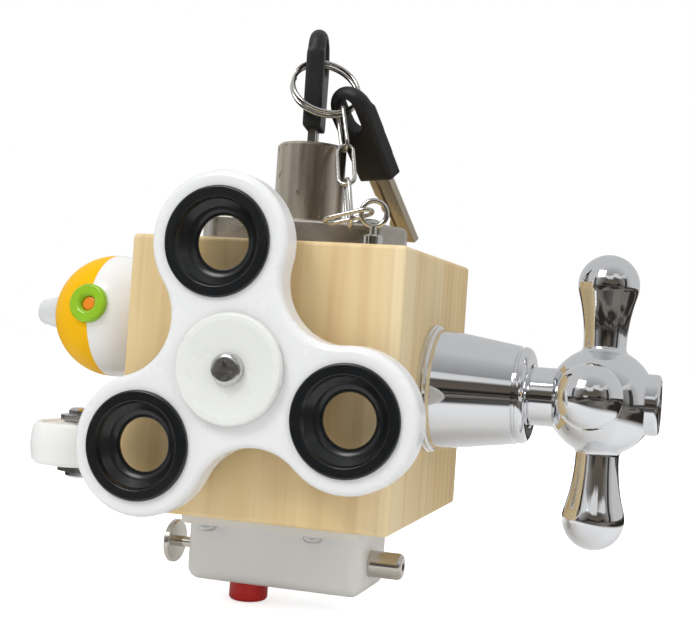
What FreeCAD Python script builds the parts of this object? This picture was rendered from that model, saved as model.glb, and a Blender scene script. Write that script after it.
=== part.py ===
import FreeCAD, Part
import math
import os

os.makedirs("parts", exist_ok=True)
V = FreeCAD.Vector

# All sizes in millimetres. Origin on the bare back face: x right, y to the back, z up.

# Fits
SEAT = 0.05        # radial room of a fixed screw or tail in its hole
RUN = 0.05         # radial room of a turning or sliding fit
GAP = 0.4          # air left between faces that pass each other

# Wooden cube
POST = 62.0
BLOCK_H = 60.0
BLOCK_EDGE = 1.0
RIGHT = POST / 2
LEFT = -POST / 2
FRONT = -POST
TOP = BLOCK_H / 2
BOTTOM = -BLOCK_H / 2

# Spinner: heights are measured forward from the cube's front face
SPIN_X = -0.25
SPIN_Z = 2.5
SPIN_TURN = 11.0
LOBE_AT = 26.0
LOBE_R = 14.8
WAIST_AT = 28.8
SPIN_THICK = 7.4
SPIN_EDGE = 1.6
WASHER_R = 5.2
WASHER_H = 2.6
CAP_R = 11.4
REAR_CAP_H = 2.2
FRONT_CAP_H = 1.9
CAP_DISH = 0.8
CAP_BOSS_R = 5.8
CAP_BOSS_H = 0.6
CAP_PLUG = 3.3
BEARING_W = 7.0
BORE_R = 4.0
BALL_PITCH_R = 7.78
RACE_BALL_R = 1.985
CAGE_HALF_WALL = 0.9
INNER_LAND = 1.73
OUTER_LAND = 1.72
INNER_R = BALL_PITCH_R - INNER_LAND
OUTER_R = BALL_PITCH_R + OUTER_LAND
BEARING_R = 11.0
BALLS = 7
REAR_CAP_S = WASHER_H
REAR_BOSS_S = REAR_CAP_S + REAR_CAP_H
BEARING_S = REAR_BOSS_S + CAP_BOSS_H
BEARING_MID_S = BEARING_S + BEARING_W / 2
BODY_S = BEARING_MID_S - SPIN_THICK / 2
BODY_FRONT_S = BODY_S + SPIN_THICK
FRONT_BOSS_S = BEARING_S + BEARING_W
FRONT_CAP_S = FRONT_BOSS_S + CAP_BOSS_H
FRONT_TOP_S = FRONT_CAP_S + FRONT_CAP_H
RING_FLANGE_R = 11.4
RING_R = 10.95
RING_PROUD = 1.0
RING_LIP_R = 9.0
RING_HOLE_R = 5.6
RING_THROAT = 3.8
RING_THROAT_H = 0.5
SPIN_SCREW_R = 1.8
SPIN_SCREW_DEEP = 20.0
SPIN_HEAD_R = 3.4
SPIN_HEAD_H = 2.0

# Tap: heights are measured out from the cube's right face
TAP_Y = -33.0
TAP_BASE_R = 14.4
TAP_BASE_H = 2.0
BELL_FOOT_R = 13.6
BELL_NECK_R = 10.95
BELL_NECK_T = 20.2
BELL_TOP_T = 23.2
BELL_WALL = 1.2
BELL_HOLE_R = 6.9
VALVE_R = 8.5
VALVE_TOP_T = 16.0
GLAND_R = 6.2
GLAND_TOP_T = 20.0
TAIL_R = 6.0
TAIL_DEEP = 18.0
SPINDLE_R = 3.8
SPINDLE_T = 3.0
HANDLE_T = 20.6
HANDLE_NECK_R = 6.5
HUB_T = 38.5
HUB_R = 11.9
HUB_FILLET = 1.5
BOSS_R = 6.8
BOSS_T = HUB_T + math.sqrt(HUB_R ** 2 - BOSS_R ** 2)
INDEX_R = 6.65
INDEX_H = 3.0
INDEX_PLUG_R = 5.15
INDEX_PLUG_H = 2.6
ARM_AT = 25.6
ARM_BALL_R = 6.75
ARM_NECK_R = 4.7
ARM_FLARE = 17.0
TAP_SCREW_R = 1.85
TAP_SCREW_HEAD_R = 3.6
TAP_SCREW_HEAD_H = 2.2
TAP_SCREW_LONG = 12.0
SPINDLE_TOP_T = HUB_T - 2.0
HANDLE_TURN = -4.0

# Cam lock: its own frame sits on the cube's top face, turned about z
LOCK_X = -2.2
LOCK_Y = -31.0
LOCK_TURN = 12.0
CASE_H = 6.6
CASE_TOP = 1.6
CASE_WALL = 1.4
CASE_PLAN = ((-20.5, -11.5), (18.0, -11.5), (23.7, -3.0), (23.7, 5.0),
             (17.0, 9.5), (-17.0, 9.5), (-23.7, 5.0), (-23.7, -5.0))
CASE_BACK_Y = 9.5
CASE_CORNER = 2.4
BARREL_R = 8.15
BARREL_TOP = 25.0
PLUG_R = 5.5
CAM_R = 6.2
CAM_LOW = 3.7
CAM_H = 1.2
PIN_AT = 4.5
PIN_R = 1.2
PIN_ANGLE = -45.0
BOLT_HALF_W = 7.2
BOLT_H = 3.1
BOLT_LIFT = 0.3
BOLT_FRONT_Y = -5.2
CASE_SCREW_X = 14.5
CASE_SCREW_R = 1.6

# Keys: the bow stands on z = 0 of its own frame, the blade hangs below it
BOW_HALF_W = 5.8
BOW_THICK = 4.0
BOW_H = 23.8
SLOT_LONG = 9.2
SLOT_WIDE = 5.0
SLOT_DOWN = 6.6
BLADE_THICK = 1.8
BLADE_W = 6.4
BLADE_LONG = 18.0
KEY_1_LIFT = 29.0
KEY_1_Z = TOP + KEY_1_LIFT

# Split ring of two turns: its height is above the cube's top face
RING_AT = (0.959, -33.257, 38.197)
RING_L = (0.7783, -0.0144, -0.6279)
RING_E = (0.4448, 0.7185, 0.5348)
WIRE = 0.95
RING_MEAN_R = 7.8
RING_PITCH = 1.38

# Spare key: where the ring carries it, and the way its blade points
KEY_2_PHI = 8.0
KEY_2_DOWN = (0.2, 0.4, -0.9)
KEY_2_GRIP = 5.4

# Chain: centre (height above the top face), long direction and flat direction of each link
LINK_LONG = 11.0
LINK_WIDE = 3.75
LINK_WIRE_R = 0.475
LINKS = (
    ((6.72, -36.09, 28.44), (0.268, -0.240, -0.933), (0.563, -0.746, 0.354)),
    ((9.25, -39.51, 19.55), (0.249, -0.433, -0.866), (0.963, 0.205, 0.174)),
    ((11.46, -42.72, 10.53), (0.205, -0.206, -0.957), (-0.520, 0.805, -0.285)),
    ((12.79, -45.77, 7.15), (-0.966, -0.030, -0.257), (-0.026, -0.977, 0.210)),
)

# Screw eye
EYE_X = 18.3
EYE_Y = -44.6
EYE_LIFT = 8.1
EYE_Z = TOP + EYE_LIFT
EYE_MEAN_R = 2.83
EYE_WIRE_R = 0.575
EYE_FACING = (0.292, -0.956, 0.0)
EYE_COLLAR_R = 2.3
EYE_COLLAR_H = 3.3

# Rattle ball on the left face
BALL_R = 14.5
BALL_WALL = 1.6
BALL_X = LEFT - GAP - BALL_R
BALL_Y = -38.75
BALL_Z = 11.7
BUSH_R = 3.0
BUSH_LONG = 10.0
AXLE_SCREW_R = 1.8
AXLE_SCREW_HEAD_R = 4.6
AXLE_SCREW_HEAD_H = 2.4
AXLE_SCREW_GRIP = 14.0
NUB_R = 4.2
NUB_TIP_R = 2.5
NUB_LONG = 6.0
EYELET_R = 4.5
EYELET_PROUD = 0.8
BEAD_R = 1.7
EYELET_LIFT = 10.0

# Caster on the left face
CASTER_X = -51.1
CASTER_Y = -43.0
CASTER_Z = -18.8
WHEEL_R = 11.5
WHEEL_W = 9.9
WHEEL_CROWN = 0.5
CASTER_AXLE_R = 2.0
FORK_IN = 10.7
FORK_OUT = 13.1
FORK_TIP = 5.0
PLATE_LONG = 32.0
PLATE_WIDE = 22.0
PLATE_H = 1.5
CASTER_AXLE_HALF = 8.15

# Window push-bolt under the cube
BOLT_X0 = -23.0
BOLT_X1 = 19.8
BOLT_Y = -31.0
FLANGE_HALF = 16.0
FLANGE_H = 4.2
FLANGE_Z = BOTTOM - FLANGE_H
SHELL_HALF = 10.6
SHELL_H = 18.1
SHELL_Z = BOTTOM - SHELL_H
SHELL_WALL = 1.6
PIN_Y = -34.0
PIN_DROP = 11.0
PIN_Z = BOTTOM - PIN_DROP
LATCH_R = 3.0
LATCH_END = 27.5
LATCH_STROKE = 9.5
LATCH_REAR = BOLT_X0 + SHELL_WALL + LATCH_STROKE + GAP
ROD_R = 1.25
DISC_R = 5.05
DISC_X = -30.0
DISC_H = 1.6
BUTTON_X = -9.6
BUTTON_R = 4.5
BUTTON_PROUD = 4.5
BUTTON_STROKE = 2.5
BUTTON_Z = SHELL_Z - BUTTON_PROUD
CLAMP_SCREWS = ((-16.6, -44.3), (-16.6, -17.7), (9.0, -44.3), (9.0, -17.7))


def unit(v):
    """A vector of length one."""
    v = V(*v)
    v.normalize()
    return v


def turned(shape, at, z, x=None):
    """The shape moved so that its own z axis points along z, and its x axis near x."""
    z = unit(z)
    if x is None:
        spin = FreeCAD.Rotation(V(0, 0, 1), z)
    else:
        x = V(*x)
        y = unit(z.cross(x))
        spin = FreeCAD.Rotation(y.cross(z), y, z, "ZXY")
    moved = shape.copy()
    moved.Placement = FreeCAD.Placement(V(*at), spin).multiply(moved.Placement)
    return moved


def rod(r, h, at, axis):
    """A plain round bar."""
    return Part.makeCylinder(r, h, V(*at), V(*axis))


def box(x0, x1, y0, y1, z0, z1):
    """A box between two corners."""
    return Part.makeBox(x1 - x0, y1 - y0, z1 - z0, V(x0, y0, z0))


def lathe(points, at=(0, 0, 0), axis=(0, 0, 1)):
    """A turned solid: (radius, height) corners, with (mid r, mid h, r, h) for an arc."""
    edges = []
    here = V(points[0][0], 0, points[0][1])
    for p in list(points[1:]) + [points[0]]:
        there = V(p[-2], 0, p[-1])
        if len(p) == 4:
            edges.append(Part.Arc(here, V(p[0], 0, p[1]), there).toShape())
        elif (there - here).Length > 1e-6:
            edges.append(Part.makeLine(here, there))
        here = there
    solid = Part.Face(Part.Wire(edges)).revolve(V(0, 0, 0), V(0, 0, 1), 360)
    return turned(solid, at, axis)


def cross_recess(size, depth, at, axis):
    """The cross cut into a screw head, pointing down its axis."""
    arm = size * 0.26
    tool = None
    for wide, long in ((size, arm), (arm, size)):
        top = Part.makePolygon([V(-wide / 2, -long / 2, 0), V(wide / 2, -long / 2, 0),
                                V(wide / 2, long / 2, 0), V(-wide / 2, long / 2, 0),
                                V(-wide / 2, -long / 2, 0)])
        k = 0.45
        low = Part.makePolygon([V(-wide * k / 2, -long / 2, -depth), V(wide * k / 2, -long / 2, -depth),
                                V(wide * k / 2, long / 2, -depth), V(-wide * k / 2, long / 2, -depth),
                                V(-wide * k / 2, -long / 2, -depth)])
        if wide == arm:
            low = Part.makePolygon([V(-wide / 2, -long * k / 2, -depth), V(wide / 2, -long * k / 2, -depth),
                                    V(wide / 2, long * k / 2, -depth), V(-wide / 2, long * k / 2, -depth),
                                    V(-wide / 2, -long * k / 2, -depth)])
        wedge = Part.makeLoft([top, low], True, True)
        tool = wedge if tool is None else tool.fuse(wedge)
    return turned(tool, at, axis)


def screw(head_r, head_h, shank_r, long, at, axis):
    """A pan-head screw: its seat at the given point, its head along the axis."""
    round_ = min(head_h * 0.6, head_r * 0.4)
    k = 1 - math.sqrt(0.5)
    solid = lathe([(0, head_h), (head_r - round_, head_h),
                   (head_r - round_ * k, head_h - round_ * k, head_r, head_h - round_),
                   (head_r, 0), (shank_r, 0), (shank_r, -long + shank_r), (0, -long)])
    solid = solid.cut(cross_recess(head_r * 1.15, head_h * 0.6, (0, 0, head_h), (0, 0, 1)))
    return turned(solid, at, axis)


def screw_hole(shank_r, long, at, axis):
    """The hole a screw stands in, a little longer and wider than its shank."""
    a = unit(axis)
    return rod(shank_r + SEAT, long + 0.4, V(*at) - a * (long + 0.4), a)


def spin_at(s):
    """A point on the spinner's axis, s in front of the cube."""
    return V(SPIN_X, FRONT - s, SPIN_Z)


def lock_frame(shape):
    """Moves a shape from the lock's own frame onto the cube's top face."""
    moved = shape.copy()
    frame = FreeCAD.Placement(V(LOCK_X, LOCK_Y, TOP), FreeCAD.Rotation(V(0, 0, 1), LOCK_TURN))
    moved.Placement = frame.multiply(moved.Placement)
    return moved


def rounded_prism(plan, z0, z1, corner):
    """A prism on a polygon plan with its upright corners rounded."""
    pts = [V(x, y, z0) for x, y in plan]
    solid = Part.Face(Part.makePolygon(pts + [pts[0]])).extrude(V(0, 0, z1 - z0))
    upright = [e for e in solid.Edges if abs(e.Vertexes[0].Z - e.Vertexes[1].Z) > 0.5 * (z1 - z0)]
    return solid.makeFillet(corner, upright)


def shrunk(plan, by):
    """The plan moved inward by a wall, about its own centre lines."""
    ring = Part.makePolygon([V(x, y, 0) for x, y in plan] + [V(plan[0][0], plan[0][1], 0)])
    inner = ring.makeOffset2D(-by)
    return [(v.X, v.Y) for v in inner.OrderedVertexes]


def clamp_screw_list(shape_of):
    """The four case screws of the push-bolt, or their holes."""
    return [shape_of(x, y) for x, y in CLAMP_SCREWS]


def caster_screw_at():
    """Where the caster's four screws stand on its plate."""
    y = PLATE_LONG / 2 - 2.8
    z = PLATE_WIDE / 2 - 2.8
    return [(LEFT - PLATE_H, CASTER_Y + a * y, CASTER_Z + b * z) for a in (-1, 1) for b in (-1, 1)]


def make_block():
    """The cube with the holes its screws and the tap's tail stand in."""
    block = box(LEFT, RIGHT, FRONT, 0, BOTTOM, TOP)
    block = block.makeFillet(BLOCK_EDGE, block.Edges)
    tools = [screw_hole(SPIN_SCREW_R, SPIN_SCREW_DEEP, spin_at(0), (0, -1, 0)),
             screw_hole(TAIL_R, TAIL_DEEP, (RIGHT, TAP_Y, 0), (1, 0, 0)),
             screw_hole(1.2, 10, (EYE_X, EYE_Y, TOP), (0, 0, 1)),
             screw_hole(AXLE_SCREW_R, AXLE_SCREW_GRIP, (LEFT, BALL_Y, BALL_Z), (-1, 0, 0))]
    for side in (-1, 1):
        tools.append(lock_frame(screw_hole(CASE_SCREW_R, 10, (side * CASE_SCREW_X, 0, 0), (0, 0, 1))))
    for x, y, z in caster_screw_at():
        tools.append(screw_hole(1.2, 8, (LEFT, y, z), (-1, 0, 0)))
    tools += clamp_screw_list(lambda x, y: screw_hole(1.2, 8, (x, y, BOTTOM), (0, 0, -1)))
    return block.cut(tools)


def spinner_outline():
    """The three lobes joined by hollow arcs, as a face on z = 0 with a lobe along +y."""
    angle = math.radians(60)
    reach = math.sqrt(LOBE_AT ** 2 + WAIST_AT ** 2 - 2 * LOBE_AT * WAIST_AT * math.cos(angle))
    waist_r = reach - LOBE_R
    edges = []

    def polar(r, deg):
        return V(r * math.cos(math.radians(deg)), r * math.sin(math.radians(deg)), 0)

    def touch(lobe, waist):
        return lobe + (waist - lobe) * (LOBE_R / reach)

    for k in range(3):
        deg = 90 + 120 * k
        lobe = polar(LOBE_AT, deg)
        before = polar(WAIST_AT, deg - 60)
        after = polar(WAIST_AT, deg + 60)
        nxt = polar(LOBE_AT, deg + 120)
        edges.append(Part.Arc(touch(lobe, before), polar(LOBE_AT + LOBE_R, deg),
                              touch(lobe, after)).toShape())
        edges.append(Part.Arc(touch(lobe, after), polar(WAIST_AT - waist_r, deg + 60),
                              touch(nxt, after)).toShape())
    return Part.Face(Part.Wire(edges))


def lobe_places():
    """The three ring centres at rest, in the plane of the front face."""
    places = []
    for k in range(3):
        a = math.radians(90 + SPIN_TURN + 120 * k)
        places.append((SPIN_X + LOBE_AT * math.cos(a), SPIN_Z + LOBE_AT * math.sin(a)))
    return places


def make_spinner_body():
    """The white three-lobed plate, bored for its bearing and rings."""
    plate = spinner_outline().extrude(V(0, 0, SPIN_THICK))
    rims = [e for e in plate.Edges if abs(e.Vertexes[0].Z - e.Vertexes[-1].Z) < 1e-6]
    plate = plate.makeFillet(SPIN_EDGE, rims)
    for k in range(3):
        a = math.radians(90 + 120 * k)
        hole = (LOBE_AT * math.cos(a), LOBE_AT * math.sin(a), -1)
        plate = plate.cut(rod(RING_R, SPIN_THICK + 2, hole, (0, 0, 1)))
    plate = plate.cut(rod(BEARING_R, SPIN_THICK + 2, (0, 0, -1), (0, 0, 1)))
    up = (-math.sin(math.radians(SPIN_TURN)), 0, math.cos(math.radians(SPIN_TURN)))
    side = (math.cos(math.radians(SPIN_TURN)), 0, math.sin(math.radians(SPIN_TURN)))
    plate = turned(plate, spin_at(BODY_S), (0, -1, 0), side)
    return plate


def make_spinner_ring(k):
    """A black ring insert: flange, pressed sleeve and a rounded throat that opens both ways."""
    x, z = lobe_places()[k]
    back = BODY_S
    face = BODY_FRONT_S
    top = face + RING_PROUD
    lip = RING_LIP_R
    hole = RING_HOLE_R
    front = top - RING_THROAT
    rear = front - RING_THROAT_H
    ring = lathe([(lip - 0.8, back), (RING_R, back), (RING_R, face), (RING_FLANGE_R, face),
                  (RING_FLANGE_R, top - 0.5),
                  (RING_FLANGE_R - 0.15, top - 0.15, RING_FLANGE_R - 0.5, top),
                  (lip + 0.4, top), (lip + 0.1, top - 0.1, lip, top - 0.4),
                  (lip - 0.3, top - 1.3), (hole + 1.7, front + 1.3),
                  (hole + 0.55, front + 0.75, hole, front), (hole, rear),
                  (hole + 0.4, rear - 0.8, hole + 1.2, rear - 1.2)])
    return turned(ring, (x, FRONT, z), (0, -1, 0))


def race_groove(room):
    """The torus both races are ground to."""
    return Part.makeTorus(BALL_PITCH_R, RACE_BALL_R + room, V(0, 0, BEARING_MID_S))


def make_race(r0, r1):
    """One bearing race with its ball groove."""
    c = 0.3
    low = BEARING_S
    top = BEARING_S + BEARING_W
    race = lathe([(r0 + c, low), (r1 - c, low), (r1, low + c), (r1, top - c), (r1 - c, top),
                  (r0 + c, top), (r0, top - c), (r0, low + c)])
    return turned(race.cut(race_groove(RUN)), (SPIN_X, FRONT, SPIN_Z), (0, -1, 0))


def make_bearing_balls():
    """Seven steel balls on their pitch circle."""
    balls = []
    for k in range(BALLS):
        a = 2 * math.pi * k / BALLS
        balls.append(Part.makeSphere(RACE_BALL_R, V(BALL_PITCH_R * math.cos(a),
                                                    BALL_PITCH_R * math.sin(a), BEARING_MID_S)))
    return turned(Part.makeCompound(balls), (SPIN_X, FRONT, SPIN_Z), (0, -1, 0))


def make_bearing_cage():
    """The cage that keeps the balls apart."""
    half = RACE_BALL_R + 0.6
    r0 = BALL_PITCH_R - CAGE_HALF_WALL
    r1 = BALL_PITCH_R + CAGE_HALF_WALL
    cage = lathe([(r0, BEARING_MID_S - half), (r1, BEARING_MID_S - half), (r1, BEARING_MID_S + half),
                  (r0, BEARING_MID_S + half)])
    for k in range(BALLS):
        a = 2 * math.pi * k / BALLS
        cage = cage.cut(rod(RACE_BALL_R + RUN, BALL_PITCH_R + 2, (0, 0, BEARING_MID_S),
                            (math.cos(a), math.sin(a), 0)))
    return turned(cage, (SPIN_X, FRONT, SPIN_Z), (0, -1, 0))


def make_washer():
    """The white spacer between the cube and the rear cap."""
    return lathe([(SPIN_SCREW_R + 0.1, 0), (WASHER_R, 0), (WASHER_R, WASHER_H),
                  (SPIN_SCREW_R + 0.1, WASHER_H)], (SPIN_X, FRONT, SPIN_Z), (0, -1, 0))


def make_rear_cap():
    """The cap behind the bearing."""
    plug_r = BORE_R - SEAT
    return lathe([(SPIN_SCREW_R + 0.1, REAR_CAP_S), (CAP_R - 0.4, REAR_CAP_S), (CAP_R, REAR_CAP_S + 0.4),
                  (CAP_R, REAR_BOSS_S - 0.2), (CAP_R - 0.2, REAR_BOSS_S), (CAP_BOSS_R, REAR_BOSS_S),
                  (CAP_BOSS_R, BEARING_S), (plug_r, BEARING_S), (plug_r, BEARING_S + CAP_PLUG),
                  (SPIN_SCREW_R + 0.1, BEARING_S + CAP_PLUG)], (SPIN_X, FRONT, SPIN_Z), (0, -1, 0))


def make_front_cap():
    """The dished finger cap in front of the bearing."""
    plug_r = BORE_R - SEAT
    top = FRONT_TOP_S
    return lathe([(SPIN_SCREW_R + 0.1, FRONT_BOSS_S - CAP_PLUG), (plug_r, FRONT_BOSS_S - CAP_PLUG),
                  (plug_r, FRONT_BOSS_S), (CAP_BOSS_R, FRONT_BOSS_S), (CAP_BOSS_R, FRONT_CAP_S),
                  (CAP_R - 0.3, FRONT_CAP_S), (CAP_R, FRONT_CAP_S + 0.3), (CAP_R, top - 0.7),
                  (CAP_R - 0.2, top - 0.2, CAP_R - 0.7, top), (CAP_R - 1.5, top),
                  (CAP_R - 4.6, top - CAP_DISH * 0.8, SPIN_HEAD_R, top - CAP_DISH),
                  (SPIN_SCREW_R + 0.1, top - CAP_DISH)], (SPIN_X, FRONT, SPIN_Z), (0, -1, 0))


def make_spinner_screw():
    """The screw the whole spinner turns on."""
    seat = FRONT_TOP_S - CAP_DISH
    return screw(SPIN_HEAD_R, SPIN_HEAD_H, SPIN_SCREW_R, seat + SPIN_SCREW_DEEP, spin_at(seat), (0, -1, 0))


def tap_part(points):
    """A turned part of the tap."""
    return lathe(points, (RIGHT, TAP_Y, 0), (1, 0, 0))


def make_tap_base_ring():
    """The ring the bell stands on, with a double rim."""
    r = TAP_BASE_R
    bore = VALVE_R + SEAT
    return tap_part([(bore, 0), (r, 0), (r, 0.8), (r - 0.45, 1.05), (r - 0.2, 1.3), (r - 0.2, 1.6),
                     (r - 0.6, TAP_BASE_H), (bore, TAP_BASE_H)])


def make_tap_bell():
    """The tapered shell over the valve."""
    w = BELL_WALL
    return tap_part([(BELL_FOOT_R - w, TAP_BASE_H), (BELL_FOOT_R, TAP_BASE_H),
                     (BELL_FOOT_R, TAP_BASE_H + 0.9), (BELL_NECK_R, BELL_NECK_T),
                     (BELL_NECK_R - 0.45, BELL_NECK_T + 0.3), (BELL_NECK_R - 0.45, BELL_NECK_T + 0.7),
                     (BELL_NECK_R - 0.15, BELL_NECK_T + 1.0),
                     (BELL_NECK_R - 0.7, BELL_TOP_T - 0.6, BELL_NECK_R - 2.2, BELL_TOP_T),
                     (BELL_HOLE_R + 0.3, BELL_TOP_T), (BELL_HOLE_R, BELL_TOP_T - 0.3),
                     (BELL_HOLE_R, BELL_TOP_T - w), (BELL_NECK_R - 2.3, BELL_TOP_T - w),
                     (BELL_NECK_R - w - 0.3, BELL_NECK_T), (BELL_FOOT_R - w, TAP_BASE_H + 1.4)])


def make_tap_valve_body():
    """The valve body: tail in the wood, hexagon, gland and spindle bore."""
    bore = SPINDLE_R + RUN
    body = tap_part([(0, -TAIL_DEEP), (TAIL_R - 0.8, -TAIL_DEEP), (TAIL_R, -TAIL_DEEP + 0.8), (TAIL_R, 0),
                     (VALVE_R, 0), (VALVE_R, VALVE_TOP_T), (GLAND_R, VALVE_TOP_T),
                     (GLAND_R, GLAND_TOP_T), (bore, GLAND_TOP_T), (bore, SPINDLE_T - 0.3),
                     (0, SPINDLE_T - 0.3)])
    return body


def make_tap_spindle():
    """The spindle the handle turns."""
    bore = TAP_SCREW_R + SEAT
    deep = HUB_T - TAP_SCREW_LONG - 1.0
    return tap_part([(0, SPINDLE_T), (SPINDLE_R - 0.4, SPINDLE_T), (SPINDLE_R, SPINDLE_T + 0.4),
                     (SPINDLE_R, SPINDLE_TOP_T), (bore, SPINDLE_TOP_T), (bore, deep), (0, deep)])


def arm_outline():
    """Half outline of a handle arm: a fillet on the hub, a slow flare, then the round end."""
    f = HUB_FILLET
    r = ARM_NECK_R
    root = math.sqrt((HUB_R + f) ** 2 - (r + f) ** 2)
    share = HUB_R / (HUB_R + f)
    foot_r, foot_h = (r + f) * share, root * share
    way_x, way_h = -1 - (r + f) / (HUB_R + f), -root / (HUB_R + f)
    way = math.hypot(way_x, way_h)
    a = math.radians(ARM_FLARE)
    flare_r = (ARM_BALL_R * math.cos(a) - r) / (1 - math.cos(a))
    ball_h = ARM_AT - ARM_BALL_R * math.sin(a)
    start = ball_h - flare_r * math.sin(a)
    mid_r = r + flare_r * (1 - math.cos(a / 2))
    mid_h = start + flare_r * math.sin(a / 2)
    b = math.radians((90 - ARM_FLARE) / 2)
    return [(0, foot_h - 2), (foot_r, foot_h - 2), (foot_r, foot_h),
            (r + f + f * way_x / way, root + f * way_h / way, r, root), (r, start),
            (mid_r, mid_h, ARM_BALL_R * math.cos(a), ball_h),
            (ARM_BALL_R * math.cos(b), ARM_AT + ARM_BALL_R * math.sin(b), 0, ARM_AT + ARM_BALL_R)]


def make_tap_handle():
    """The cross handle: a neck, a ball hub cut flat in front, and four arms."""
    low = HUB_T - math.sqrt(HUB_R ** 2 - HANDLE_NECK_R ** 2)
    hub = lathe([(0, HANDLE_T), (HANDLE_NECK_R - 0.3, HANDLE_T), (HANDLE_NECK_R, HANDLE_T + 0.3),
                 (HANDLE_NECK_R, low), (HUB_R, HUB_T, BOSS_R, BOSS_T), (0, BOSS_T)])
    for k in range(4):
        a = math.radians(90 * k)
        hub = hub.fuse(lathe(arm_outline(), (0, 0, HUB_T), (math.cos(a), math.sin(a), 0)))
    hub = hub.removeSplitter()
    hub = hub.cut(rod(SPINDLE_R, SPINDLE_TOP_T - HANDLE_T + 1, (0, 0, HANDLE_T - 1), (0, 0, 1)))
    hub = hub.cut(rod(TAP_SCREW_R + SEAT, 10, (0, 0, HUB_T - 4), (0, 0, 1)))
    hub = hub.cut(rod(INDEX_PLUG_R + SEAT, HUB_R, (0, 0, HUB_T), (0, 0, 1)))
    a = math.radians(HANDLE_TURN)
    return turned(hub, (RIGHT, TAP_Y, 0), (1, 0, 0), (0, math.cos(a), math.sin(a)))


def make_tap_index_cap():
    """The round cap that hides the handle screw."""
    r = INDEX_R
    plug = INDEX_PLUG_R
    top = BOSS_T + INDEX_H
    return tap_part([(plug - 1.15, BOSS_T - INDEX_PLUG_H), (plug, BOSS_T - INDEX_PLUG_H), (plug, BOSS_T),
                     (r, BOSS_T), (r, top - 1.1), (r - 0.3, top - 0.3, r - 1.1, top), (r - 1.6, top),
                     (r - 1.75, top - 0.35), (r - 2.05, top - 0.35), (r - 2.2, top), (0, top + 0.01),
                     (0, BOSS_T), (plug - 1.15, BOSS_T)])


def make_tap_handle_screw():
    """The screw that holds the handle on its spindle."""
    return screw(TAP_SCREW_HEAD_R, TAP_SCREW_HEAD_H, TAP_SCREW_R, TAP_SCREW_LONG,
                 (RIGHT + HUB_T, TAP_Y, 0), (1, 0, 0))


def make_lock_case():
    """The pressed tray over the sliding bolt."""
    case = rounded_prism(CASE_PLAN, 0, CASE_H, CASE_CORNER)
    rim = [e for e in case.Edges if e.BoundBox.ZMin > CASE_H - 1e-3]
    case = case.makeFillet(0.9, rim)
    inner = rounded_prism(shrunk(CASE_PLAN, CASE_WALL), -1, CASE_H - CASE_TOP, 1.2)
    case = case.cut(inner)
    case = case.cut(rod(PLUG_R + 0.1, 10, (0, 0, 0), (0, 0, 1)))
    case = case.cut(box(-BOLT_HALF_W - 0.3, BOLT_HALF_W + 0.3, 0, 20, -1, BOLT_LIFT + BOLT_H + 0.4))
    for side in (-1, 1):
        case = case.cut(rod(CASE_SCREW_R + 0.1, 20, (side * CASE_SCREW_X, 0, -2), (0, 0, 1)))
    return lock_frame(case)


def make_lock_cylinder():
    """The lock's barrel."""
    bore = PLUG_R + RUN
    barrel = lathe([(bore, CASE_H), (BARREL_R, CASE_H), (BARREL_R, BARREL_TOP - 0.7),
                    (BARREL_R - 0.7, BARREL_TOP), (bore + 0.3, BARREL_TOP), (bore, BARREL_TOP - 0.3)])
    return lock_frame(barrel)


def make_lock_plug():
    """The turning plug: keyway, cam disc and the pin that drives the bolt."""
    plug = lathe([(0, CAM_LOW), (CAM_R, CAM_LOW), (CAM_R, CAM_LOW + CAM_H), (PLUG_R, CAM_LOW + CAM_H),
                  (PLUG_R, BARREL_TOP - 0.6), (PLUG_R - 0.3, BARREL_TOP - 0.3), (0, BARREL_TOP - 0.3)])
    a = math.radians(PIN_ANGLE)
    pin = rod(PIN_R, CAM_LOW - BOLT_LIFT, (PIN_AT * math.cos(a), PIN_AT * math.sin(a), BOLT_LIFT), (0, 0, 1))
    plug = plug.fuse(pin)
    room = 0.03
    depth = KEY_1_Z - TOP - BLADE_LONG - 0.3
    plug = plug.cut(box(-BLADE_THICK / 2 - room, BLADE_THICK / 2 + room,
                        -BLADE_W / 2 - room, BLADE_W / 2 + room, depth, BARREL_TOP + 1))
    return lock_frame(plug)


def make_lock_bolt():
    """The flat bolt, slotted across for the drive pin."""
    y1 = CASE_BACK_Y - 0.1
    bolt = box(-BOLT_HALF_W, BOLT_HALF_W, BOLT_FRONT_Y, y1, BOLT_LIFT, BOLT_LIFT + BOLT_H)
    upright = [e for e in bolt.Edges if abs(e.Vertexes[0].Z - e.Vertexes[1].Z) > 1]
    bolt = bolt.makeFillet(0.8, upright)
    a = math.radians(PIN_ANGLE)
    x0 = PIN_AT * math.cos(a) - 0.2
    x1 = PIN_AT + 0.2
    y = PIN_AT * math.sin(a)
    r = PIN_R + 0.3
    slot = box(x0, x1, y - r, y + r, -1, 9)
    slot = slot.fuse([rod(r, 10, (x0, y, -1), (0, 0, 1)), rod(r, 10, (x1, y, -1), (0, 0, 1))])
    return lock_frame(bolt.cut(slot))


def make_lock_screws():
    """The two screws through the lock's case."""
    both = [screw(2.9, 1.8, CASE_SCREW_R, CASE_H + 10, (s * CASE_SCREW_X, 0, CASE_H), (0, 0, 1))
            for s in (-1, 1)]
    return lock_frame(Part.makeCompound(both))


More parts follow.
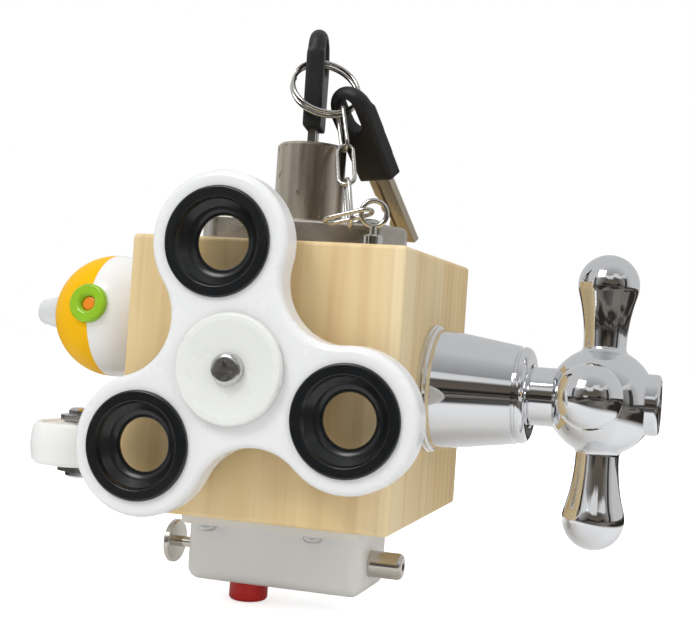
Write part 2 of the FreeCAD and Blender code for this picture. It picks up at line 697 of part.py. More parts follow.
def bow_shape():
    """A key bow in its own frame: y across, z up, x through its thickness."""
    w = BOW_HALF_W
    t = BOW_THICK / 2
    h = BOW_H
    edges = [Part.makeLine(V(-t, -w + 0.8, 0), V(-t, w - 0.8, 0)),
             Part.makeLine(V(-t, w - 0.8, 0), V(-t, w, h - w)),
             Part.Arc(V(-t, w, h - w), V(-t, 0, h), V(-t, -w, h - w)).toShape(),
             Part.makeLine(V(-t, -w, h - w), V(-t, -w + 0.8, 0))]
    bow = Part.Face(Part.Wire(edges)).extrude(V(2 * t, 0, 0))
    bow = bow.makeFillet(1.0, bow.Edges)
    half = (SLOT_LONG - SLOT_WIDE) / 2
    mid = h - SLOT_DOWN
    r = SLOT_WIDE / 2
    slot = box(-5, 5, -r, r, mid - half, mid + half)
    slot = slot.fuse([rod(r, 10, (-5, 0, mid + half), (1, 0, 0)), rod(r, 10, (-5, 0, mid - half), (1, 0, 0))])
    return bow.cut(slot)


def blade_shape():
    """A key blade in the same frame, its tang inside the foot of the bow, its bitting along +y."""
    w = BLADE_W / 2
    t = BLADE_THICK / 2
    tip = -BLADE_LONG
    pts = [(-w, 4.0), (w, 4.0), (w, -4.6), (w - 0.5, -5.2), (w - 0.9, -7.0), (w - 0.2, -8.2),
           (w - 0.2, -9.0), (w - 1.7, -10.6), (w - 1.7, -11.4), (w - 0.6, -12.8), (w - 1.3, -14.2),
           (w - 1.3, -15.0), (w - 0.4, tip + 1.6), (w - 1.9, tip - 0.4), (0.4, tip), (-0.6, tip),
           (-w, tip - 0.2)]
    poly = [V(-t, y, z) for y, z in pts]
    blade = Part.Face(Part.makePolygon(poly + [poly[0]])).extrude(V(2 * t, 0, 0))
    groove = box(t - 0.45, t + 1, -1.5, -0.3, tip - 1, -0.8)
    return blade.cut(groove).cut(box(-t - 1, -t + 0.45, 0.2, 1.2, tip - 1, -0.8))


def bow_only():
    """The bow with the pocket its blade is moulded into."""
    w = BLADE_W / 2
    t = BLADE_THICK / 2
    return bow_shape().cut(box(-t, t, -w, w, -1, 4.0))


def key_1(shape):
    """Moves a key shape into the lock."""
    moved = shape.copy()
    moved.translate(V(0, 0, KEY_1_Z - TOP))
    return lock_frame(moved)


def ring_axes():
    """The split ring's centre, its two in-plane directions and its axis."""
    l = unit(RING_L)
    n = unit(l.cross(V(*RING_E)))
    return V(*RING_AT) + V(0, 0, TOP), l, n.cross(l), n


def ring_point(phi):
    """A point on the ring's mean circle."""
    c, l, e, n = ring_axes()
    a = math.radians(phi)
    return c + l * (RING_MEAN_R * math.cos(a)) + e * (RING_MEAN_R * math.sin(a))


def key_2_frame():
    """Where the spare key hangs: its own z points up the bow, x through its thickness."""
    c, l, e, n = ring_axes()
    a = math.radians(KEY_2_PHI)
    tangent = e * math.cos(a) - l * math.sin(a)
    down = V(*KEY_2_DOWN)
    down = unit(down - tangent * down.dot(tangent))
    at = ring_point(KEY_2_PHI) + down * (BOW_H - KEY_2_GRIP)
    return at, down * -1, tangent


def key_2(shape):
    """Moves a key shape onto the ring."""
    at, up, through = key_2_frame()
    return turned(shape, at, up, through)


def arc_between(p, q, m):
    """The arc from p to q whose end tangents meet at m."""
    half = (q - p).Length / 2
    mid = (p + q) * 0.5
    angle = math.acos(min(1.0, half / (m - p).Length))
    rise = half * math.tan(angle / 2)
    return Part.Arc(p, mid + unit(m - mid) * rise, q).toShape()


def biarc(p0, t0, p1, t1):
    """Two arcs that join two points with the given end directions."""
    v = p1 - p0
    t = t0 + t1
    k = 2 * (1 - t0.dot(t1))
    d = (-v.dot(t) + math.sqrt(v.dot(t) ** 2 + k * v.dot(v))) / k
    m0 = p0 + t0 * d
    m1 = p1 - t1 * d
    joint = (m0 + m1) * 0.5
    return [arc_between(p0, joint, m0), arc_between(joint, p1, m1)]


def make_key_ring():
    """The split ring: one round wire wound twice round."""
    c, l, e, n = ring_axes()
    r = RING_MEAN_R
    rise = RING_PITCH / (2 * math.pi)
    quarters = 8
    start = math.radians(200)

    def on_coil(k):
        turn = math.pi / 2 * k
        a = start + turn
        p = c + l * (r * math.cos(a)) + e * (r * math.sin(a)) + n * (rise * turn - RING_PITCH)
        t = unit(e * (r * math.cos(a)) - l * (r * math.sin(a)) + n * rise)
        return p, t

    edges = []
    for k in range(quarters):
        p0, t0 = on_coil(k)
        p1, t1 = on_coil(k + 1)
        edges += biarc(p0, t0, p1, t1)
    p0, t0 = on_coil(0)
    section = Part.Wire(Part.Circle(p0, t0, WIRE / 2).toShape())
    coil = Part.Wire(edges).makePipeShell([section], True, False)
    print("key ring: least gap between its turns %.2f mm" % (RING_PITCH - WIRE))
    return coil


def link_shape():
    """One oval link lying in the xz plane, long in z."""
    r = LINK_WIDE / 2
    half = LINK_LONG / 2 - r
    w = LINK_WIRE_R
    bars = [rod(w, 2 * half, (s * r, 0, -half), (0, 0, 1)) for s in (-1, 1)]
    ends = []
    for s in (-1, 1):
        bend = Part.makeTorus(r, w, V(0, 0, 0), V(0, 0, 1), -180, 180, 180)
        bend.rotate(V(0, 0, 0), V(1, 0, 0), 90 * s)
        bend.translate(V(0, 0, s * half))
        ends.append(bend)
    return bars[0].fuse(bars[1:] + ends)


def make_chain():
    """The four links of the chain."""
    link = link_shape()
    links = [turned(link, V(*at) + V(0, 0, TOP), long, flat) for at, long, flat in LINKS]
    return Part.makeCompound(links)


def make_screw_eye():
    """The screw eye: threaded tail, collar, neck and ring."""
    tail = lathe([(0, -10), (1.2, -9), (1.2, 0), (EYE_COLLAR_R, 0), (EYE_COLLAR_R, EYE_COLLAR_H - 0.4),
                  (EYE_COLLAR_R - 0.4, EYE_COLLAR_H), (0.9, EYE_COLLAR_H), (0.8, EYE_Z - TOP - EYE_MEAN_R),
                  (0, EYE_Z - TOP - EYE_MEAN_R)], (EYE_X, EYE_Y, TOP))
    eye = Part.makeTorus(EYE_MEAN_R, EYE_WIRE_R, V(EYE_X, EYE_Y, EYE_Z), V(*EYE_FACING))
    return tail.fuse(eye)


def ball_axis_tool(r, x0, x1):
    """A bar along the ball's axis between two distances from its centre, outward positive."""
    return rod(r, x1 - x0, (BALL_X - x0, BALL_Y, BALL_Z), (-1, 0, 0))


def eyelet_axis():
    """The direction the eyelet looks, square to the ball's axis."""
    a = math.radians(EYELET_LIFT)
    return V(0, -math.cos(a), math.sin(a))


def half_shell():
    """A hollow half ball, open at z = 0."""
    ri = BALL_R - BALL_WALL
    k = math.sqrt(0.5)
    return lathe([(BALL_R, 0), (BALL_R * k, BALL_R * k, 0, BALL_R), (0, ri), (ri * k, ri * k, ri, 0)])


def make_ball_outer():
    """The yellow half, away from the cube, with a socket for the nub."""
    shell = turned(half_shell(), (BALL_X, BALL_Y, BALL_Z), (-1, 0, 0))
    shell = shell.cut(rod(EYELET_R, BALL_R * 2, V(BALL_X, BALL_Y, BALL_Z), eyelet_axis()))
    return shell.cut(ball_axis_tool(2.0, 5, 20))


def make_ball_inner():
    """The white half, next to the cube, with the hub that turns on the bush."""
    shell = half_shell()
    hub_r = BUSH_R + 2.0
    hub = rod(hub_r, BUSH_LONG - GAP - 1.0, (0, 0, BALL_R - BUSH_LONG + 2 * GAP), (0, 0, 1))
    hub = hub.common(Part.makeSphere(BALL_R))
    shell = shell.fuse(hub)
    shell = shell.cut(rod(BUSH_R + RUN, 40, (0, 0, 0), (0, 0, 1)))
    shell = turned(shell, (BALL_X, BALL_Y, BALL_Z), (1, 0, 0))
    return shell.cut(rod(EYELET_R, BALL_R * 2, V(BALL_X, BALL_Y, BALL_Z), eyelet_axis()))


def make_ball_nub():
    """The frosted nub on the outer pole."""
    foot = math.sqrt(BALL_R ** 2 - NUB_R ** 2)
    tip = BALL_R + NUB_LONG
    nub = lathe([(0, BALL_R - 4.0), (2.0, BALL_R - 4.0), (2.0, foot - 0.5), (NUB_R, foot - 0.5),
                 (NUB_R, foot + 0.4), (NUB_TIP_R + 0.6, tip - 1.6),
                 (NUB_TIP_R + 0.1, tip - 0.4, NUB_TIP_R - 0.9, tip), (0, tip)])
    core = Part.makeSphere(BALL_R).cut(rod(2.0, 40, (0, 0, 0), (0, 0, 1)))
    return turned(nub.cut(core), (BALL_X, BALL_Y, BALL_Z), (-1, 0, 0))


def make_ball_eyelet():
    """The green ring set in the seam."""
    top = BALL_R + EYELET_PROUD
    low = BALL_R - BALL_WALL - 0.4
    return lathe([(BEAD_R, low), (EYELET_R, low), (EYELET_R, top - 0.6),
                  (EYELET_R - 0.2, top - 0.15, EYELET_R - 0.8, top), (BEAD_R + 0.9, top),
                  (BEAD_R + 0.3, top - 0.3, BEAD_R, top - 1.0)],
                 (BALL_X, BALL_Y, BALL_Z), eyelet_axis())


def make_ball_bead():
    """The orange bead in the middle of the eyelet."""
    low = BALL_R - BALL_WALL - 0.4
    top = BALL_R - 0.2
    return lathe([(0, low), (BEAD_R, low), (BEAD_R, top - 0.5), (BEAD_R - 0.15, top - 0.15, BEAD_R - 0.5, top),
                  (0, top)], (BALL_X, BALL_Y, BALL_Z), eyelet_axis())


def make_ball_bush():
    """The fixed bush the ball turns on."""
    return lathe([(AXLE_SCREW_R + SEAT, 0), (BUSH_R, 0), (BUSH_R, BUSH_LONG), (AXLE_SCREW_R + SEAT, BUSH_LONG)],
                 (LEFT, BALL_Y, BALL_Z), (-1, 0, 0))


def make_ball_axle_screw():
    """The screw through the bush, its head inside the ball."""
    return screw(AXLE_SCREW_HEAD_R, AXLE_SCREW_HEAD_H, AXLE_SCREW_R, BUSH_LONG + AXLE_SCREW_GRIP,
                 (LEFT - BUSH_LONG, BALL_Y, BALL_Z), (-1, 0, 0))


def fork_leg(z0, z1):
    """One leg of the caster's fork, tapering to a round end at the axle."""
    x0 = LEFT - PLATE_H + 0.5
    r = FORK_TIP
    wide = 10.0
    a = math.radians(105)
    up = V(CASTER_X + r * math.cos(a), CASTER_Y + r * math.sin(a), z0)
    dn = V(CASTER_X + r * math.cos(a), CASTER_Y - r * math.sin(a), z0)
    edges = [Part.makeLine(V(x0, CASTER_Y - wide, z0), V(x0, CASTER_Y + wide, z0)),
             Part.makeLine(V(x0, CASTER_Y + wide, z0), up),
             Part.Arc(up, V(CASTER_X - r, CASTER_Y, z0), dn).toShape(),
             Part.makeLine(dn, V(x0, CASTER_Y - wide, z0))]
    return Part.Face(Part.Wire(edges)).extrude(V(0, 0, z1 - z0))


def make_caster_bracket():
    """The plate and fork of the caster."""
    plate = box(LEFT - PLATE_H, LEFT, CASTER_Y - PLATE_LONG / 2, CASTER_Y + PLATE_LONG / 2,
                CASTER_Z - PLATE_WIDE / 2, CASTER_Z + PLATE_WIDE / 2)
    corners = [e for e in plate.Edges if abs(e.Vertexes[0].X - e.Vertexes[1].X) > 1]
    plate = plate.makeFillet(2.5, corners)
    legs = [fork_leg(CASTER_Z + FORK_IN / 2, CASTER_Z + FORK_OUT / 2),
            fork_leg(CASTER_Z - FORK_OUT / 2, CASTER_Z - FORK_IN / 2)]
    bracket = plate.fuse(legs)
    bracket = bracket.cut(rod(CASTER_AXLE_R + SEAT, 40, (CASTER_X, CASTER_Y, CASTER_Z - 20), (0, 0, 1)))
    for x, y, z in caster_screw_at():
        bracket = bracket.cut(rod(1.3, 4, (x - 1, y, z), (1, 0, 0)))
    return bracket


def make_caster_axle():
    """The axle pin with its head and its riveted end."""
    h = FORK_OUT / 2
    r = CASTER_AXLE_R
    end = CASTER_AXLE_HALF
    return lathe([(0, -end), (2.6, -end), (3.2, -end + 0.5), (3.2, -h), (r, -h), (r, h), (3.2, h),
                  (3.2, end - 0.5), (2.6, end), (0, end)], (CASTER_X, CASTER_Y, CASTER_Z))


def make_caster_wheel():
    """The translucent wheel, slightly crowned, with dished sides."""
    w = WHEEL_W / 2
    r = WHEEL_R
    bore = CASTER_AXLE_R + RUN
    k = 0.8
    return lathe([(bore, -w), (4.2, -w), (4.6, -w + k), (r - 2.6, -w + k), (r - 2.2, -w + 0.3),
                  (r - 1.2, -w + 0.1), (r - WHEEL_CROWN, -w + 0.9), (r, 0, r - WHEEL_CROWN, w - 0.9),
                  (r - 1.2, w - 0.1), (r - 2.2, w - 0.3), (r - 2.6, w - k), (4.6, w - k), (4.2, w),
                  (bore, w)], (CASTER_X, CASTER_Y, CASTER_Z))


def make_caster_screws():
    """The four screws of the caster's plate."""
    return Part.makeCompound([screw(2.3, 1.3, 1.2, PLATE_H + 8, at, (-1, 0, 0)) for at in caster_screw_at()])


def make_bolt_case():
    """The white case: flange, hollow body and the holes for bolt, button and screws."""
    flange = box(BOLT_X0, BOLT_X1, BOLT_Y - FLANGE_HALF, BOLT_Y + FLANGE_HALF, FLANGE_Z, BOTTOM)
    flange = flange.makeFillet(3.0, [e for e in flange.Edges if abs(e.Vertexes[0].Z - e.Vertexes[1].Z) > 1])
    body = box(BOLT_X0, BOLT_X1, BOLT_Y - SHELL_HALF, BOLT_Y + SHELL_HALF, SHELL_Z, BOTTOM - 1)
    low = [e for e in body.Edges if e.BoundBox.ZMax < SHELL_Z + 1e-3]
    upright = [e for e in body.Edges if abs(e.Vertexes[0].Z - e.Vertexes[1].Z) > 1]
    body = body.makeFillet(3.0, low + upright)
    w = SHELL_WALL
    room = box(BOLT_X0 + w, BOLT_X1 - w, BOLT_Y - SHELL_HALF + w, BOLT_Y + SHELL_HALF - w, SHELL_Z + w, BOTTOM + 1)
    room_low = [e for e in room.Edges if e.BoundBox.ZMax < SHELL_Z + w + 1e-3]
    room = room.makeFillet(0.8, room_low)
    case = flange.fuse(body).removeSplitter().cut(room)
    case = case.cut(rod(LATCH_R + RUN, 10, (BOLT_X1 - 5, PIN_Y, PIN_Z), (1, 0, 0)))
    case = case.cut(rod(ROD_R + RUN, 10, (BOLT_X0 - 5, PIN_Y, PIN_Z), (1, 0, 0)))
    case = case.cut(rod(BUTTON_R + RUN, 10, (BUTTON_X, PIN_Y, SHELL_Z - 5), (0, 0, 1)))
    return case.cut(clamp_screw_list(lambda x, y: rod(1.3, 10, (x, y, FLANGE_Z - 2), (0, 0, 1))))


def make_bolt_case_screws():
    """The four screws through the case's flange."""
    return Part.makeCompound(clamp_screw_list(
        lambda x, y: screw(2.2, 1.6, 1.2, BOTTOM - FLANGE_Z + 8, (x, y, FLANGE_Z), (0, 0, -1))))


def make_latch_bolt():
    """The round bolt, its thin rod and the disc behind the case."""
    r = LATCH_R
    end = LATCH_END
    return lathe([(0, DISC_X), (DISC_R - 0.3, DISC_X), (DISC_R, DISC_X + 0.3), (DISC_R, DISC_X + DISC_H - 0.3),
                  (DISC_R - 0.3, DISC_X + DISC_H), (ROD_R, DISC_X + DISC_H), (ROD_R, LATCH_REAR),
                  (r - 0.3, LATCH_REAR), (r, LATCH_REAR + 0.3), (r, end - 1.1), (r - 0.5, end - 0.2, r - 1.2, end),
                  (0.9, end), (0.9, end - 3.0), (0, end - 3.0)], (0, PIN_Y, PIN_Z), (1, 0, 0))


def make_release_button():
    """The red button: a shoulder keeps it in the case, and a saddle straddles the bolt when pressed."""
    floor = SHELL_Z + SHELL_WALL + 0.05
    r = BUTTON_R
    button = lathe([(0, BUTTON_Z), (r - 1.0, BUTTON_Z), (r - 0.3, BUTTON_Z + 0.3, r, BUTTON_Z + 1.0),
                    (r, floor), (r + 0.6, floor), (r + 0.6, floor + 1.0), (0, floor + 1.0)],
                   (BUTTON_X, PIN_Y, 0))
    return button.cut(rod(LATCH_R + GAP, 20, (BUTTON_X - 10, PIN_Y, PIN_Z - BUTTON_STROKE), (1, 0, 0)))


NODES = {
    "wood_block": make_block,
    "spinner_body": make_spinner_body,
    "spinner_ring_1": lambda: make_spinner_ring(0),
    "spinner_ring_2": lambda: make_spinner_ring(1),
    "spinner_ring_3": lambda: make_spinner_ring(2),
    "bearing_inner_race": lambda: make_race(BORE_R, INNER_R),
    "bearing_outer_race": lambda: make_race(OUTER_R, BEARING_R),
    "bearing_balls": make_bearing_balls,
    "bearing_cage": make_bearing_cage,
    "spinner_washer": make_washer,
    "spinner_rear_cap": make_rear_cap,
    "spinner_front_cap": make_front_cap,
    "spinner_screw": make_spinner_screw,
    "tap_base_ring": make_tap_base_ring,
    "tap_bell": make_tap_bell,
    "tap_valve_body": make_tap_valve_body,
    "tap_spindle": make_tap_spindle,
    "tap_handle": make_tap_handle,
    "tap_index_cap": make_tap_index_cap,
    "tap_handle_screw": make_tap_handle_screw,
    "lock_case": make_lock_case,
    "lock_cylinder": make_lock_cylinder,
    "lock_plug": make_lock_plug,
    "lock_bolt": make_lock_bolt,
    "lock_screws": make_lock_screws,
    "key_1_bow": lambda: key_1(bow_only()),
    "key_1_blade": lambda: key_1(blade_shape()),
    "key_ring": make_key_ring,
    "key_2_bow": lambda: key_2(bow_only()),
    "key_2_blade": lambda: key_2(blade_shape()),
    "chain": make_chain,
    "screw_eye": make_screw_eye,
    "ball_outer": make_ball_outer,
    "ball_inner": make_ball_inner,
    "ball_nub": make_ball_nub,
    "ball_eyelet": make_ball_eyelet,
    "ball_bead": make_ball_bead,
    "ball_bush": make_ball_bush,
    "ball_axle_screw": make_ball_axle_screw,
    "caster_bracket": make_caster_bracket,
    "caster_axle": make_caster_axle,
    "caster_wheel": make_caster_wheel,
    "caster_screws": make_caster_screws,
    "bolt_case": make_bolt_case,
    "bolt_case_screws": make_bolt_case_screws,
    "latch_bolt": make_latch_bolt,
    "release_button": make_release_button,
}

for name, make in NODES.items():
    shape = make()
    print(name, shape.isValid(), len(shape.Solids), round(shape.Volume, 1))
    shape.exportStep("parts/" + name + ".step")
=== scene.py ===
# %% [markdown]
# # A wooden activity cube
# Six faces of a small pine block carry things to turn, press and slide. The imported CAD model gives
# every hard part in its true place, so this script starts by loading it. All sizes here are in metres,
# in the same frame as the CAD.

# %% Load the frame
import bpy
import math
from mathutils import Matrix, Vector


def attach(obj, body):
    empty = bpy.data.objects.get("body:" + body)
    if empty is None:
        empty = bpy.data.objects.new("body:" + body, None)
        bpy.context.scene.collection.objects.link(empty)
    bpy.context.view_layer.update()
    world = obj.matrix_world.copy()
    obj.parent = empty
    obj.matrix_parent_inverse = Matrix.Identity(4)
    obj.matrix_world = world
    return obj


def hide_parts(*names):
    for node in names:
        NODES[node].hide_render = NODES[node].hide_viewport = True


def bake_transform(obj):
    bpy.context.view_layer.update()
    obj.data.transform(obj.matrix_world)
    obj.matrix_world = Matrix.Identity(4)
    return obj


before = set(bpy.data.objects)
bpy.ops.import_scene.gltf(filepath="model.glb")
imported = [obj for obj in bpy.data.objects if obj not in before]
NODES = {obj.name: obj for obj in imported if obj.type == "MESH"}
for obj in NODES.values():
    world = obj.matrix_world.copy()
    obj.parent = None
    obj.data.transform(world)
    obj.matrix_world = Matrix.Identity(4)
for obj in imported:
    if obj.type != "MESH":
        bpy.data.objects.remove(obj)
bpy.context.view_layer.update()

MM = 0.001


def select_only(*objs):
    """Leave nothing selected but these objects, and make the first one active."""
    bpy.ops.object.select_all(action="DESELECT")
    for o in objs:
        o.select_set(True)
    if objs:
        bpy.context.view_layer.objects.active = objs[0]


select_only()

# %% [markdown]
# ## The camera
# A product photograph is mostly its viewpoint, so the camera comes first. It stands a little to the
# right of the front face, about level with the middle of the cube, and leans a few degrees because
# the real cube leans on its button. The picture was cropped off centre, which is what the shift is
# for. The shift is small, and turning the camera instead would change the perspective.

# %% Camera
CAMERA_AT = Vector((94.154, -292.844, 11.053)) * MM
CAMERA_RIGHT = Vector((0.96326, 0.26034, 0.06595))
CAMERA_UP = Vector((-0.05921, -0.03367, 0.99768))
CAMERA_LOOK = Vector((-0.26195, 0.96493, 0.01702))
bpy.ops.object.camera_add(location=CAMERA_AT)
camera = bpy.context.object
camera.name = "camera"
turn = Matrix((CAMERA_RIGHT, CAMERA_UP, -CAMERA_LOOK)).transposed()
camera.rotation_euler = turn.to_euler()
camera.data.sensor_width = 36.0
camera.data.lens = 60.81
camera.data.shift_x = -0.0823
camera.data.shift_y = 0.0011
camera.data.clip_start = 0.01
camera.data.clip_end = 20.0
bpy.context.scene.camera = camera
print("camera lens", camera.data.lens, "mm")

# %% [markdown]
# ## Floor, background and lamps
# The photograph has a plain white surround with hardly a shadow. A wide pale floor and a white world
# give that. The camera and clear plastic see the world as plain white through Light Path, while the
# light that falls on the object is kept lower, so pale plastic keeps its shape. Chrome needs
# something dark to show against. So mirrors see a room instead: dim on the camera's side with a band
# of bright windows above, and a pale backdrop behind. The floor's mirror image ends where a table
# would, and three dark cards stand where only reflections can find them.

# %% Studio
FLOOR_Z = -52.75 * MM
TABLE_REACH = 0.15
TABLE_FADE = 0.03
FLOOR_GLOW = 0.70
AMBIENT = 0.47
ROOM_SIDE = (0.262, -0.965, 0.0)
ROOM_SHADES = ((0.0, (0.02, 0.018, 0.015)), (0.30, (0.02, 0.018, 0.015)), (0.42, (0.13, 0.11, 0.09)),
               (0.68, (0.10, 0.085, 0.07)), (0.76, (0.80, 0.80, 0.80)), (0.86, (0.75, 0.75, 0.75)),
               (0.92, (0.25, 0.25, 0.25)), (1.0, (0.30, 0.30, 0.30)))
GLOOM = ((0.0, (0.010, 0.010, 0.010)), (0.50, (0.030, 0.026, 0.022)), (0.56, (0.22, 0.20, 0.18)),
         (0.66, (0.05, 0.05, 0.05)), (1.0, (0.40, 0.40, 0.40)))
BACKDROP_SHADE = 0.62
bpy.context.scene.view_settings.view_transform = "Standard"


def plain_material(name, colour, rough=0.6):
    """A simple material for the studio itself."""
    mat = bpy.data.materials.new(name)
    mat.use_nodes = True
    shader = mat.node_tree.nodes["Principled BSDF"]
    shader.inputs["Base Color"].default_value = (*colour, 1)
    shader.inputs["Roughness"].default_value = rough
    return mat


def shade_stops(node, shades):
    """Set a colour ramp's stops."""
    band = node.color_ramp
    while len(band.elements) < len(shades):
        band.elements.new(0.5)
    for stop, (at, shade) in zip(band.elements, shades):
        stop.position = at
        stop.color = (*shade, 1)


bpy.ops.mesh.primitive_plane_add(size=6.0, location=(0, 0, FLOOR_Z))
floor = bpy.context.object
floor.name = "floor"
floor_material = plain_material("studio_floor", (0.86, 0.86, 0.86), 0.8)
floor.data.materials.append(floor_material)
tree = floor_material.node_tree
path = tree.nodes.new("ShaderNodeLightPath")
glow = tree.nodes.new("ShaderNodeEmission")
glow.inputs["Color"].default_value = (1, 1, 1, 1)
glow.inputs["Strength"].default_value = FLOOR_GLOW
lit = tree.nodes.new("ShaderNodeAddShader")
mix = tree.nodes.new("ShaderNodeMixShader")
base = tree.nodes["Principled BSDF"]
tree.links.new(base.outputs[0], lit.inputs[0])
tree.links.new(glow.outputs[0], lit.inputs[1])
tree.links.new(path.outputs["Is Camera Ray"], mix.inputs[0])
tree.links.new(base.outputs[0], mix.inputs[1])
tree.links.new(lit.outputs[0], mix.inputs[2])
spot = tree.nodes.new("ShaderNodeTexCoord")
reach = tree.nodes.new("ShaderNodeVectorMath")
reach.operation = "LENGTH"
tree.links.new(spot.outputs["Object"], reach.inputs[0])
beyond = tree.nodes.new("ShaderNodeMapRange")
beyond.inputs["From Min"].default_value = TABLE_REACH
beyond.inputs["From Max"].default_value = TABLE_REACH + TABLE_FADE
tree.links.new(reach.outputs["Value"], beyond.inputs["Value"])
mirrored_far = tree.nodes.new("ShaderNodeMath")
mirrored_far.operation = "MULTIPLY"
tree.links.new(beyond.outputs[0], mirrored_far.inputs[0])
tree.links.new(path.outputs["Is Glossy Ray"], mirrored_far.inputs[1])
shapes = tree.nodes.new("ShaderNodeTexNoise")
shapes.inputs["Scale"].default_value = 2.2
shapes.inputs["Detail"].default_value = 5.0
tree.links.new(spot.outputs["Object"], shapes.inputs["Vector"])
dim = tree.nodes.new("ShaderNodeValToRGB")
shade_stops(dim, GLOOM)
tree.links.new(shapes.outputs[0], dim.inputs[0])
gloom = tree.nodes.new("ShaderNodeEmission")
tree.links.new(dim.outputs[0], gloom.inputs["Color"])
ended = tree.nodes.new("ShaderNodeMixShader")
tree.links.new(mirrored_far.outputs[0], ended.inputs[0])
tree.links.new(mix.outputs[0], ended.inputs[1])
tree.links.new(gloom.outputs[0], ended.inputs[2])
tree.links.new(ended.outputs[0], tree.nodes["Material Output"].inputs[0])

world = bpy.data.worlds.new("studio")
bpy.context.scene.world = world
world.use_nodes = True
tree = world.node_tree
ambient = tree.nodes["Background"]
ambient.inputs["Color"].default_value = (0.97, 0.985, 1.0, 1)
ambient.inputs["Strength"].default_value = AMBIENT
white = tree.nodes.new("ShaderNodeBackground")
white.inputs["Color"].default_value = (1, 1, 1, 1)
white.inputs["Strength"].default_value = 1.0
path = tree.nodes.new("ShaderNodeLightPath")
plain_view = tree.nodes.new("ShaderNodeMath")
plain_view.operation = "MAXIMUM"
tree.links.new(path.outputs["Is Camera Ray"], plain_view.inputs[0])
tree.links.new(path.outputs["Is Transmission Ray"], plain_view.inputs[1])

way = tree.nodes.new("ShaderNodeTexCoord")
parts = tree.nodes.new("ShaderNodeSeparateXYZ")
tree.links.new(way.outputs["Generated"], parts.inputs[0])
patches = tree.nodes.new("ShaderNodeTexNoise")
patches.inputs["Scale"].default_value = 2.6
patches.inputs["Detail"].default_value = 4.0
tree.links.new(way.outputs["Generated"], patches.inputs["Vector"])
height = tree.nodes.new("ShaderNodeMath")
height.operation = "MULTIPLY_ADD"
height.inputs[1].default_value = 0.55
tree.links.new(patches.outputs[0], height.inputs[0])
tree.links.new(parts.outputs[2], height.inputs[2])
room = tree.nodes.new("ShaderNodeValToRGB")
tree.links.new(height.outputs[0], room.inputs[0])
shade_stops(room, ROOM_SHADES)
facing = tree.nodes.new("ShaderNodeVectorMath")
facing.operation = "DOT_PRODUCT"
facing.inputs[1].default_value = ROOM_SIDE
tree.links.new(way.outputs["Generated"], facing.inputs[0])
behind = tree.nodes.new("ShaderNodeMapRange")
behind.inputs["From Min"].default_value = 0.88
behind.inputs["From Max"].default_value = 0.20
tree.links.new(facing.outputs["Value"], behind.inputs["Value"])
backdrop = tree.nodes.new("ShaderNodeMix")
backdrop.data_type = "RGBA"
backdrop.inputs[7].default_value = (BACKDROP_SHADE, BACKDROP_SHADE, BACKDROP_SHADE, 1)
tree.links.new(behind.outputs[0], backdrop.inputs[0])
tree.links.new(room.outputs[0], backdrop.inputs[6])
mirrored = tree.nodes.new("ShaderNodeBackground")
tree.links.new(backdrop.outputs[2], mirrored.inputs["Color"])

seen = tree.nodes.new("ShaderNodeMixShader")
tree.links.new(path.outputs["Is Glossy Ray"], seen.inputs[0])
tree.links.new(ambient.outputs[0], seen.inputs[1])
tree.links.new(mirrored.outputs[0], seen.inputs[2])
mix = tree.nodes.new("ShaderNodeMixShader")
tree.links.new(plain_view.outputs[0], mix.inputs[0])
tree.links.new(seen.outputs[0], mix.inputs[1])
tree.links.new(white.outputs[0], mix.inputs[2])
tree.links.new(mix.outputs[0], tree.nodes["World Output"].inputs[0])


def aim(obj, target):
    """Turn a lamp or a card so that it faces a point."""
    way = Vector(target) - obj.location
    obj.rotation_euler = way.to_track_quat("-Z", "Y").to_euler()


def area_lamp(name, place, target, size, watts, mirrored=False):
    """A soft square lamp, which mirrors see only where asked."""
    bpy.ops.object.light_add(type="AREA", location=place)
    lamp = bpy.context.object
    lamp.name = name
    lamp.data.shape = "RECTANGLE"
    lamp.data.size = size[0]
    lamp.data.size_y = size[1]
    lamp.data.energy = watts
    lamp.visible_glossy = mirrored
    aim(lamp, target)
    return lamp


CENTRE = Vector((0.0, -0.03, 0.0))
area_lamp("key_lamp", (-0.35, -0.75, 0.75), CENTRE, (0.45, 0.45), 4.6, True)
area_lamp("fill_lamp", (0.75, -0.65, 0.35), CENTRE, (0.5, 0.7), 2.2)
area_lamp("top_lamp", (0.05, 0.1, 1.0), CENTRE, (0.8, 0.8), 3.5)
area_lamp("rim_lamp", (-0.5, 0.7, 0.5), CENTRE, (0.5, 0.5), 2)


def dark_card(name, place, size, shade):
    """A card that only reflections see."""
    bpy.ops.mesh.primitive_plane_add(size=1.0, location=place)
    card = bpy.context.object
    card.name = name
    aim(card, CENTRE)
    card.scale = (size[0], size[1], 1)
    card.data.materials.append(plain_material(name + "_paint", (shade, shade, shade), 0.9))
    card.visible_camera = False
    card.visible_diffuse = False
    card.visible_shadow = False
    card.visible_transmission = False
    return card


dark_card("card_right", (0.95, -0.35, -0.02), (0.16, 0.9), 0.03)
dark_card("card_left", (-0.75, -0.75, 0.05), (0.14, 0.9), 0.05)
dark_card("card_low", (0.25, -0.9, -0.20), (1.2, 0.10), 0.03)
print("studio ready")

# %% [markdown]
# ## Material helpers
# Every finish is built from noise on Object coordinates, which for these pieces are metres in the
# frame of the whole object, so a pattern keeps its real size. Small helpers keep each recipe short:
# one adds a noise, one a colour ramp and one a bump.

# %% Material helpers


